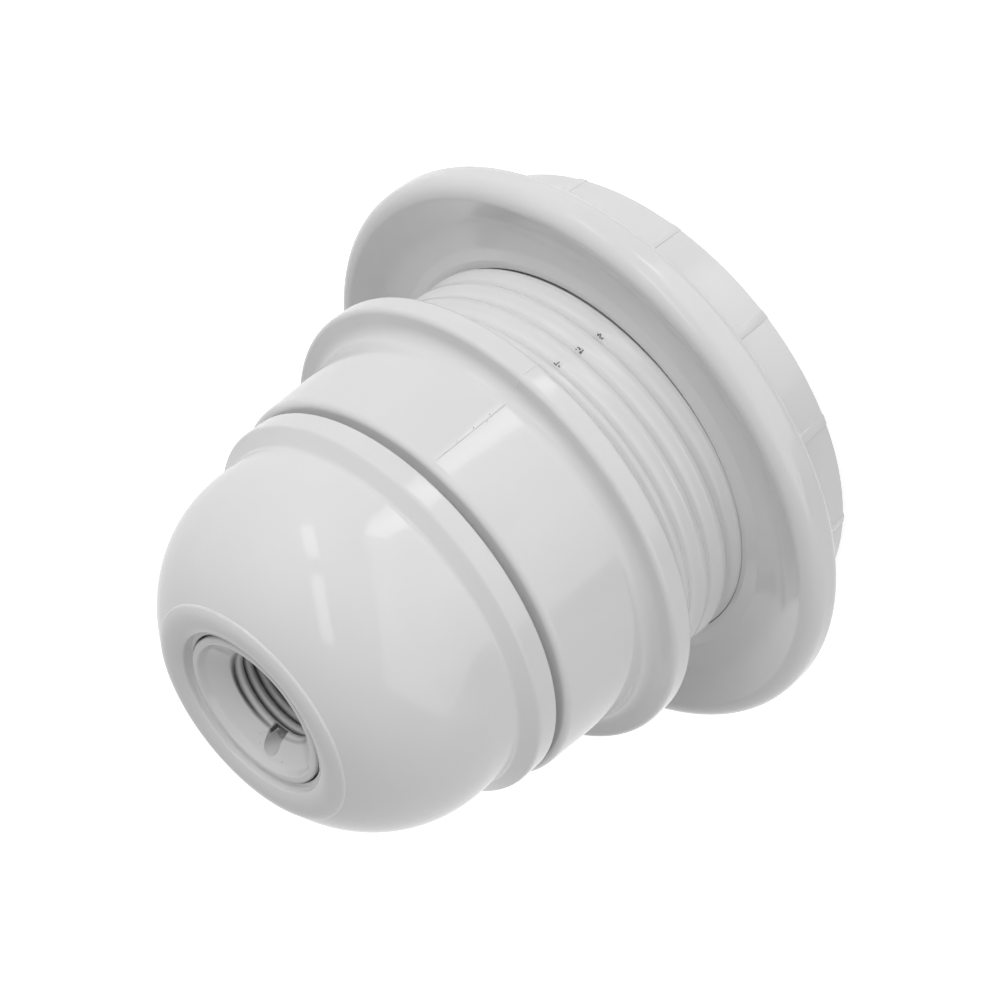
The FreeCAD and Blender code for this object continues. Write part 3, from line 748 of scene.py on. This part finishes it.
@dataclass
class EntryBush:
    """Dished bush in the cap's crown with the entry thread and the locking screw's pocket."""

    material: Material
    segments: int = 144
    collar_height: float = 2.5
    collar_edge: float = 0.2
    rim_radius: float = 7.5
    rim_width: float = 0.7
    dish_radius: float = 6.5
    dish_depth: float = 0.7
    mouth_depth: float = 1.9
    mouth_radius: float = 4.9
    mouth_slope: float = 0.5
    thread_radius: float = 4.46
    thread_pitch: float = 1.0
    thread_row: float = 0.05
    thread_run_in: float = 1.08
    pocket_angle: float = 126.0
    pocket_offset: float = 5.5
    pocket_radius: float = 0.85
    pocket_depth: float = 3.0
    lock_offset: float = 5.9
    lock_radius: float = 0.88

    def outline(self) -> Outline:
        """Draws the half section from the bore's foot round the collar and over the rim."""
        foot, top = foot_of("entry_bush"), top_of("entry_bush")
        shoulder = foot + self.collar_height
        wide = half_width("entry_bush")
        shape = Outline().corner(self.thread_radius, foot).corner(wide, foot, self.collar_edge)
        shape.corner(wide, shoulder, self.collar_edge).corner(self.rim_radius, shoulder)
        shape.corner(self.rim_radius, top, 0.22).corner(self.rim_radius - self.rim_width, top, 0.22)
        shape.corner(self.dish_radius, top - self.dish_depth, 0.7)
        shape.corner(self.mouth_radius, top - self.mouth_depth, 0.2)
        shape.corner(self.thread_radius, top - self.mouth_depth - self.mouth_slope)
        return shape.rows(foot, self.thread_row)

    def build(self) -> None:
        """Turns the bush, cuts its thread and sinks the pocket."""
        bush = turned(self.outline(), self.segments)
        foot, top = foot_of("entry_bush"), top_of("entry_bush")
        thread = ScrewThread(
            Sink.OUTWARD,
            self.thread_radius,
            self.thread_pitch,
            start=foot - self.thread_run_in,
            length=top - foot,
            groove_width=1.0,
            groove_depth=0.52,
            edge_softness=0.05,
            bowl=1.0,
            pinch=2.2,
        )
        thread.cut_into(bush)
        for hollow in (self.lock_hole(foot, top), self.pocket(top)):
            bush = combined(bush, hollow, Operation.CUT)
        Piece("entry_bush_threaded", "cap", ("entry_bush",)).finish(bush, self.material)

    def upright_rod(self, radius: float, offset: float, foot: float, top: float) -> BMesh:
        """A round rod beside the axis between two heights."""
        rod = bmesh.new()
        ends = {"radius1": radius * MM, "radius2": radius * MM}
        bmesh.ops.create_cone(rod, cap_ends=True, segments=40, depth=(top - foot) * MM, **ends)
        bmesh.ops.translate(rod, vec=Vector((offset, 0, (top + foot) / 2)) * MM, verts=rod.verts)
        return rod

    def lock_hole(self, foot: float, top: float) -> BMesh:
        """The locking screw's hole, from the bore's foot up into the pocket."""
        overlap, below = 0.2, 1.0
        above_floor = top - self.pocket_depth + overlap
        hole = self.upright_rod(self.lock_radius, self.lock_offset, foot - below, above_floor)
        return turn_about_axis(hole, self.pocket_angle)

    def pocket(self, top: float) -> BMesh:
        """The half-round pocket beside the thread, open to it over its top turns."""
        floor, inwards = top - self.pocket_depth, 1.0
        rod_top, notch_top = top + 1.0, top + 0.9
        end = self.upright_rod(self.pocket_radius, self.pocket_offset, floor, rod_top)
        low = Vector((self.thread_radius - inwards, -self.pocket_radius, floor))
        high = Vector((self.pocket_offset, self.pocket_radius, notch_top))
        notch = combined(end, block(low, high, 0.02), Operation.JOIN)
        return turn_about_axis(notch, self.pocket_angle)


# Groove of the barrel's 40 mm thread: a wide bowl with soft edges beside a narrow flat crest
BARREL_THREAD = ScrewThread(
    Sink.INWARD,
    19.9,
    pitch=2.5,
    start=-1.1,
    length=23.9,
    groove_width=2.1,
    groove_depth=0.62,
    edge_softness=0.08,
    pinch=1.35,
)
# The ring's own thread: its bore is drawn in to a ridge that lies in that groove
RING_THREAD = replace(
    BARREL_THREAD,
    crest_radius=19.95,
    groove_width=1.8,
    groove_depth=0.5,
    edge_softness=0.04,
    pinch=1.6,
)


@dataclass
class Shell:
    """Barrel with its inside and outside threads, the collar and the housing above it."""

    material: Material
    segments: int = 216
    barrel_length: float = 22.0
    crest_radius: float = 19.9
    collar_thickness: float = 2.4
    housing_low: float = 20.1
    housing_high: float = 19.7
    chamber_radius: float = 17.6
    seat_height: float = 26.0
    hollow_outer: float = 17.0
    hollow_inner: float = 15.1
    hollow_foot: float = 2.4
    relief_radius: float = 13.6
    lamp_thread_top: float = 19.2
    lamp_crest: float = 12.3
    mouth_round: float = 0.8
    collar_round: float = 0.5
    housing_fillet: float = 1.3
    rim_round: float = 0.65
    thread_foot: float = 0.85
    fine_from: float = 10.6
    coarse_row: float = 0.14
    fine_row: float = 0.06
    run_in: float = 0.04
    lamp_row: float = 0.2

    def outline(self) -> Outline:
        """Draws the half section, with fine rows where the two threads are cut."""
        collar, top = half_width("shell"), top_of("shell")
        collar_top = self.barrel_length + self.collar_thickness
        thread_top = self.barrel_length - self.run_in
        shape = Outline().corner(self.lamp_crest, 0.0, self.mouth_round)
        shape.corner(self.crest_radius, 0.0, self.mouth_round)
        shape.corner(self.crest_radius, self.thread_foot).rows(self.fine_from, self.coarse_row)
        shape.rows(thread_top, self.fine_row)
        shape.corner(self.crest_radius - 0.6, self.barrel_length)
        shape.corner(collar, self.barrel_length, self.collar_round)
        shape.corner(collar, collar_top, self.collar_round)
        shape.corner(self.housing_low, collar_top, self.housing_fillet)
        shape.corner(self.housing_high, top, self.rim_round)
        shape.corner(self.chamber_radius, top, 0.2).corner(self.chamber_radius, self.seat_height)
        shape.corner(self.hollow_outer, self.seat_height)
        shape.corner(self.hollow_outer, self.hollow_foot, 0.3)
        shape.corner(self.hollow_inner, self.hollow_foot, 0.3)
        shape.corner(self.hollow_inner, self.seat_height)
        shape.corner(self.relief_radius, self.seat_height, 0.15)
        shape.corner(self.relief_radius, self.lamp_thread_top, 0.1)
        shape.corner(self.lamp_crest, self.lamp_thread_top, 0.15)
        return shape.corner(self.lamp_crest, 18.6).rows(1.0, self.lamp_row)

    def build(self) -> None:
        """Turns the shell and cuts the shade ring's thread and the lamp's thread."""
        shell = turned(self.outline(), self.segments)
        BARREL_THREAD.cut_into(shell)
        lamp = ScrewThread(
            Sink.OUTWARD,
            self.lamp_crest,
            pitch=3.629,
            start=-1.4,
            length=20.6,
            groove_width=2.5,
            groove_depth=1.1,
            edge_softness=0.2,
        )
        lamp.cut_into(shell)
        Piece("threaded_shell", "shell", ("shell",)).finish(shell, self.material)


@dataclass
class ShadeRing:
    """Ring that clamps a lampshade: beaded flange, hub and a skirt with grip ribs."""

    material: Material
    segments: int = 224
    bore: float = 19.95
    step_radius: float = 20.4
    step_width: float = 1.1
    step_rise: float = 0.3
    face_drop: float = 1.6
    bead_width: float = 1.7
    bead_slope: float = 3.2
    thickness: float = 3.8
    back_round: float = 1.2
    front_round: float = 1.55
    crest_round: float = 0.6
    bead_round: float = 4.0
    hub_length: float = 6.2
    skirt_bore: float = 22.5
    skirt_radius: float = 24.2
    skirt_root: float = 24.6
    rib_count: int = 14
    rib_angle: float = -92.0
    rib_width: float = 1.0
    rib_rise: float = 0.2
    rib_foot_rise: float = 0.06

    def outline(self) -> Outline:
        """Draws the half section from the bore's foot round the skirt and over the flange."""
        foot, front = foot_of("shade_ring"), top_of("shade_ring")
        back, face = front - self.thickness, front - self.face_drop
        hub = front - self.hub_length
        wide = half_width("shade_ring")
        shape = Outline().corner(self.skirt_bore, hub, 0.1)
        shape.corner(self.skirt_bore, foot, 0.2).corner(self.skirt_radius, foot, 0.3)
        shape.corner(self.skirt_root, back, 0.4).corner(wide, back, self.back_round)
        shape.corner(wide, front, self.front_round)
        shape.corner(wide - self.bead_width, front, self.crest_round)
        shape.corner(wide - self.bead_width - self.bead_slope, face, self.bead_round)
        shape.corner(self.step_radius + self.step_width, face, 1.2)
        shape.corner(self.step_radius, face + self.step_rise, 0.8)
        return shape.corner(self.bore, face + self.step_rise).rows(hub, 0.1)

    def ribs(self) -> BMesh:
        """Makes every grip rib as one mesh of separate blocks."""
        foot, back = foot_of("shade_ring"), top_of("shade_ring") - self.thickness
        low = Vector((self.skirt_bore + 0.6, -self.rib_width / 2, foot + 0.05))
        high = Vector((self.skirt_root + self.rib_rise, self.rib_width / 2, back + 0.3))
        taper = self.skirt_root + self.rib_rise - self.skirt_radius - self.rib_foot_rise
        ribs = []
        for number in range(self.rib_count):
            rib = block(low, high, 0.1)
            for vert in rib.verts:
                drop = taper * (high.z - vert.co.z / MM) / (high.z - low.z)
                vert.co.x -= drop * MM
            ribs.append(turn_about_axis(rib, self.rib_angle + 360 * number / self.rib_count))
        return gathered(ribs)

    def build(self) -> None:
        """Turns the ring and joins its ribs to the skirt."""
        body = turned(self.outline(), self.segments)
        RING_THREAD.cut_into(body)
        ring = combined(body, self.ribs(), Operation.JOIN)
        Piece("ribbed_shade_ring", "shade_ring", ("shade_ring",)).finish(ring, self.material)


@dataclass
class MouldMarks:
    """What the mould left: its parting line, torn flash in the thread and burrs in the entry."""

    material: Material
    # dark grey material of the torn flash
    flash_grey: Material
    seam_angles: tuple[float, float] = (-70.0, 110.0)
    line_width: float = 0.14
    line_rise: float = 0.06
    housing_low: float = 20.1
    housing_foot: float = 24.4
    housing_taper: float = 0.0388
    seam_top: float = 33.9
    collar_radius: float = 22.85
    valley_radius: float = 19.28
    valley_heights: tuple[float, ...] = (18.4, 15.9, 13.4)
    crumbs_a_valley: int = 9
    valley_scatter: float = 0.28
    seam_crumbs: int = 7
    seam_heights: tuple[float, float] = (26.0, 31.5)
    seam_scatter: float = 0.084
    burr_count: int = 14
    burr_angle: float = 126.0
    burr_aside: tuple[float, float] = (11.0, 17.0)
    burr_radii: tuple[float, float] = (4.95, 6.3)
    burr_scatter: float = 0.042

    def build(self) -> None:
        """Builds the line, the flash and the burrs."""
        rng = random.Random(11)
        lines = gathered([line for angle in self.seam_angles for line in self.seam(angle)])
        Piece("parting_line", "shell").finish(lines, self.material)
        angle = self.seam_angles[0]
        torn = [
            self.crumb(
                rng, self.valley_radius + rng.uniform(0.0, 0.05), angle, height, self.valley_scatter
            )
            for height in self.valley_heights
            for _ in range(self.crumbs_a_valley)
        ]
        for _ in range(self.seam_crumbs):
            height = rng.uniform(*self.seam_heights)
            wall = self.housing_low - (height - self.housing_foot) * self.housing_taper
            torn.append(self.crumb(rng, wall - 0.03, angle, height, self.seam_scatter))
        Piece("torn_flash", "shell").finish(gathered(torn), self.flash_grey)
        burrs = gathered([self.burr(rng, place) for place in range(self.burr_count)])
        Piece("entry_burrs", "cap").finish(burrs, self.material)

    def seam(self, angle: float) -> list[BMesh]:
        """The parting line up the housing, out over the collar and down its rim.

        Args:
            angle: Where it runs, in degrees about the axis.

        Returns:
            Its three stretches.
        """
        side, sunk, bevel = self.line_width / 2, 0.1, 0.02
        collar_edge, fillet = 0.5, 1.3
        foot, top = self.housing_foot + 1.0, self.seam_top
        low = Vector((self.housing_low - sunk, -side, foot))
        wall = block(low, Vector((self.housing_low + self.line_rise, side, top)), bevel)
        for vert in wall.verts:
            vert.co.x -= (vert.co.z - self.housing_foot * MM) * self.housing_taper
        low = Vector((self.housing_low + fillet, -side, self.housing_foot - sunk))
        high = Vector((self.collar_radius - collar_edge, side, self.housing_foot + self.line_rise))
        over = block(low, high, bevel)
        low = Vector((self.collar_radius - sunk, -side, self.housing_foot - 1.9))
        high = Vector((self.collar_radius + self.line_rise, side, self.housing_foot - collar_edge))
        rim = block(low, high, bevel)
        return [turn_about_axis(stretch, angle) for stretch in (wall, over, rim)]

    def crumb(
        self, rng: random.Random, radius: float, angle: float, height: float, scatter: float
    ) -> BMesh:
        """One ragged crumb near a place on the object.

        Args:
            rng: Seeded source of its form.
            radius: Distance from the axis, in millimetres.
            angle: Angle about the axis, in degrees.
            height: Height, in millimetres.
            scatter: Usual distance from the place each way, in millimetres.

        Returns:
            The crumb's mesh.
        """
        crumb = bmesh.new()
        bmesh.ops.create_icosphere(crumb, subdivisions=2, radius=MM)
        thin, long = (0.03, 0.08), (0.06, 0.22)
        reach = Vector([rng.uniform(*thin), rng.uniform(*thin), rng.uniform(*long)])
        for vert in crumb.verts:
            ragged = rng.uniform(0.55, 1.35)
            vert.co = Vector([part * size * ragged for part, size in zip(vert.co, reach)])
        turn = Matrix.Rotation(rng.gauss(0, 0.9), 3, "X")
        bmesh.ops.rotate(crumb, cent=(0, 0, 0), matrix=turn, verts=crumb.verts)
        across, along = rng.gauss(0, scatter), rng.gauss(0, scatter)
        place = Vector((radius, across, height + along)) * MM
        bmesh.ops.translate(crumb, vec=place, verts=crumb.verts)
        return turn_about_axis(crumb, angle)

    def burr(self, rng: random.Random, place: int) -> BMesh:
        """One burr on the bush's dish beside the pocket, by its number."""
        side = -1 if place % 2 else 1
        dish_radius, dish_depth, dish_slope = 6.5, 0.75, 0.75
        radius = rng.uniform(*self.burr_radii)
        height = top_of("entry_bush") - dish_depth - (dish_radius - radius) * dish_slope
        angle = self.burr_angle + side * rng.uniform(*self.burr_aside)
        return self.crumb(rng, radius, angle, height, self.burr_scatter)


@dataclass
class InnerParts:
    """Contact block, contacts, terminals and screws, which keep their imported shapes."""

    block_material: Material
    brass: Material
    bronze: Material
    steel: Material

    def dress(self) -> None:
        """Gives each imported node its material."""
        finishes = {
            "contact_block": self.block_material,
            "centre_contact": self.bronze,
            "side_contact": self.bronze,
            "contact_rivet": self.brass,
            "locking_screw": self.steel,
        }
        for side in ("live", "neutral"):
            finishes[f"{side}_terminal"] = self.brass
            finishes[f"{side}_clamp_plate"] = self.steel
            finishes[f"{side}_terminal_screw"] = self.steel
        for node, material in finishes.items():
            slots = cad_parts[node].data.materials
            slots.clear()
            slots.append(material)
            log.info("%s: %s", node, material.name)


@dataclass(frozen=True)
class SoftLamp:
    """A soft box, by where it stands seen from the object towards the camera.

    The side and rise are angles to the right of the camera and above it, in the picture; the
    width and height are how large the box looks from the object.
    """

    name: str
    side_deg: float
    rise_deg: float
    width_deg: float
    height_deg: float
    brightness: float
    reach: Reach


SOFT_LAMPS = (
    SoftLamp("near_shade", -10.0, 12.0, 44.0, 44.0, 0.6, Reach.SHADING),
    SoftLamp("front_shade", 0.0, 40.0, 44.0, 44.0, 1.75, Reach.SHADING),
    SoftLamp("left_shade", -30.0, 40.0, 44.0, 44.0, 1.6, Reach.SHADING),
    SoftLamp("low_shade", 90.0, -50.0, 44.0, 44.0, 1.5, Reach.SHADING),
    SoftLamp("right_softbox", 46.0, 10.0, 66.0, 104.0, 0.9, Reach.MIRRORED),
    SoftLamp("top_softbox", 36.0, 60.0, 14.0, 9.0, 2.0, Reach.MIRRORED),
    SoftLamp("left_strip_low", -23.5, 5.5, 8.0, 39.0, 1.75, Reach.MIRRORED),
    SoftLamp("left_strip_high", -34.0, 46.0, 8.0, 22.0, 1.75, Reach.MIRRORED),
)


@dataclass
class Studio:
    """Pale floor, soft lamps and the camera at the photograph's angle."""

    elevation: float = 30.193
    roll: float = 231.242
    distance_mm: float = 257.213
    aim_mm: tuple[float, float, float] = (0.8955, 3.3602, 18.7749)
    lens: float = 101.223
    sensor: float = 36.0
    clip_m: tuple[float, float] = (0.01, 10.0)
    lamp_distance_m: float = 0.8
    floor_size_m: float = 6.0
    floor_hex: str = "F4F4F4"
    world_hex: str = "FFFFFF"
    world_strength: float = 0.34
    floor_glow: float = 0.70

    def camera_axes(self) -> tuple[Vector, Vector, Vector]:
        """Works out which way the camera's right, up and back point."""
        tilt, roll = math.radians(self.elevation), math.radians(self.roll)
        ahead = Vector((0, math.cos(tilt), -math.sin(tilt)))
        level, down = Vector((1, 0, 0)), Vector((0, -math.sin(tilt), -math.cos(tilt)))
        right = level * math.cos(roll) - down * math.sin(roll)
        below = level * math.sin(roll) + down * math.cos(roll)
        return right, -below, -ahead

    def add_camera(self) -> None:
        """Places the camera."""
        right, up, back = self.camera_axes()
        data = bpy.data.cameras.new("photo_camera")
        data.lens, data.sensor_width = self.lens, self.sensor
        data.clip_start, data.clip_end = self.clip_m
        camera = bpy.data.objects.new("photo_camera", data)
        bpy.context.scene.collection.objects.link(camera)
        where = Vector(self.aim_mm) * MM + back * self.distance_mm * MM
        turn = Matrix((right, up, back)).transposed().to_4x4()
        camera.matrix_world = Matrix.Translation(where) @ turn
        bpy.context.scene.camera = camera

    def add_floor(self) -> None:
        """Lays a pale floor that shows white and keeps the object's shadow."""
        mesh = bmesh.new()
        bmesh.ops.create_grid(mesh, x_segments=1, y_segments=1, size=self.floor_size_m / 2)
        floor = as_object(mesh, "floor")
        material, nodes = new_material("pale_floor")
        diffuse = nodes.add("BsdfDiffuse", {"Color": linear(self.floor_hex)})
        glow = nodes.add("Emission", {"Strength": self.floor_glow})
        seen = self.seen_rays(nodes)
        lit = nodes.add("AddShader", {}, {0: diffuse.outputs[0], 1: glow.outputs[0]})
        mix = nodes.add("MixShader", {}, {0: seen, 1: diffuse.outputs[0], 2: lit.outputs[0]})
        nodes.add("OutputMaterial", {}, {"Surface": mix.outputs[0]})
        floor.data.materials.append(material)
        floor.visible_shadow = False
        floor.visible_glossy = False

    def seen_rays(self, nodes: Nodes) -> NodeSocket:
        """A factor of 1 for rays from the camera, in reflections and through glass, else 0."""
        path = nodes.add("LightPath")
        either = nodes.maths("MAXIMUM", path.outputs["Is Camera Ray"], path.outputs["Is Glossy Ray"])
        return nodes.maths("MAXIMUM", either, path.outputs["Is Transmission Ray"])

    def add_world(self) -> None:
        """Gives an even fill light that shows as white behind the object."""
        world = bpy.data.worlds.new("studio_world")
        world.use_nodes = True
        bpy.context.scene.world = world
        nodes = Nodes(world.node_tree)
        colour = linear(self.world_hex)
        fill = nodes.add("Background", {"Color": colour, "Strength": self.world_strength})
        white = nodes.add("Background", {"Color": colour, "Strength": 1.0})
        seen = self.seen_rays(nodes)
        mix = nodes.add("MixShader", {}, {0: seen, 1: fill.outputs[0], 2: white.outputs[0]})
        nodes.add("OutputWorld", {}, {"Surface": mix.outputs[0]})

    def add_lamp(self, lamp: SoftLamp) -> None:
        """Hangs one soft lamp so that it faces the object and stands upright in the picture."""
        data = bpy.data.lights.new(lamp.name, "AREA")
        width, height = (
            2 * self.lamp_distance_m * math.tan(math.radians(angle / 2))
            for angle in (lamp.width_deg, lamp.height_deg)
        )
        data.shape, data.size, data.size_y = "RECTANGLE", width, height
        data.energy = math.pi * width * height * lamp.brightness
        made = bpy.data.objects.new(lamp.name, data)
        bpy.context.scene.collection.objects.link(made)
        right, up, back = self.camera_axes()
        side, rise = math.radians(lamp.side_deg), math.radians(lamp.rise_deg)
        out = right * math.sin(side) * math.cos(rise) + up * math.sin(rise)
        out += back * math.cos(side) * math.cos(rise)
        made.visible_glossy = lamp.reach is Reach.MIRRORED
        made.visible_diffuse = lamp.reach is Reach.SHADING
        across = (right - out * right.dot(out)).normalized()
        turn = Matrix((across, out.cross(across), out)).transposed().to_4x4()
        centre = Vector((0, 0, top_of("cap") / 2)) * MM
        made.matrix_world = Matrix.Translation(centre + out * self.lamp_distance_m) @ turn

    def build(self) -> None:
        """Adds the camera, the floor, the world and the lamps."""
        bpy.context.scene.view_settings.view_transform = "Standard"
        self.add_camera()
        self.add_floor()
        self.add_world()
        for lamp in SOFT_LAMPS:
            self.add_lamp(lamp)


def main() -> None:
    """Builds every piece and the studio."""
    logging.basicConfig(level=logging.INFO, format="%(name)s %(message)s")
    white = WHITE_PLASTIC.material()
    DomedCap(white).build()
    EntryBush(BUSH_PLASTIC.material()).build()
    Shell(white).build()
    ShadeRing(white).build()
    MouldMarks(white, FLASH_PLASTIC.material()).build()
    block_plastic, brass = BLOCK_PLASTIC.material(), BRASS.material()
    InnerParts(block_plastic, brass, BRONZE.material(), ZINC_STEEL.material()).dress()
    Studio().build()


if __name__ == "__main__":
    main()
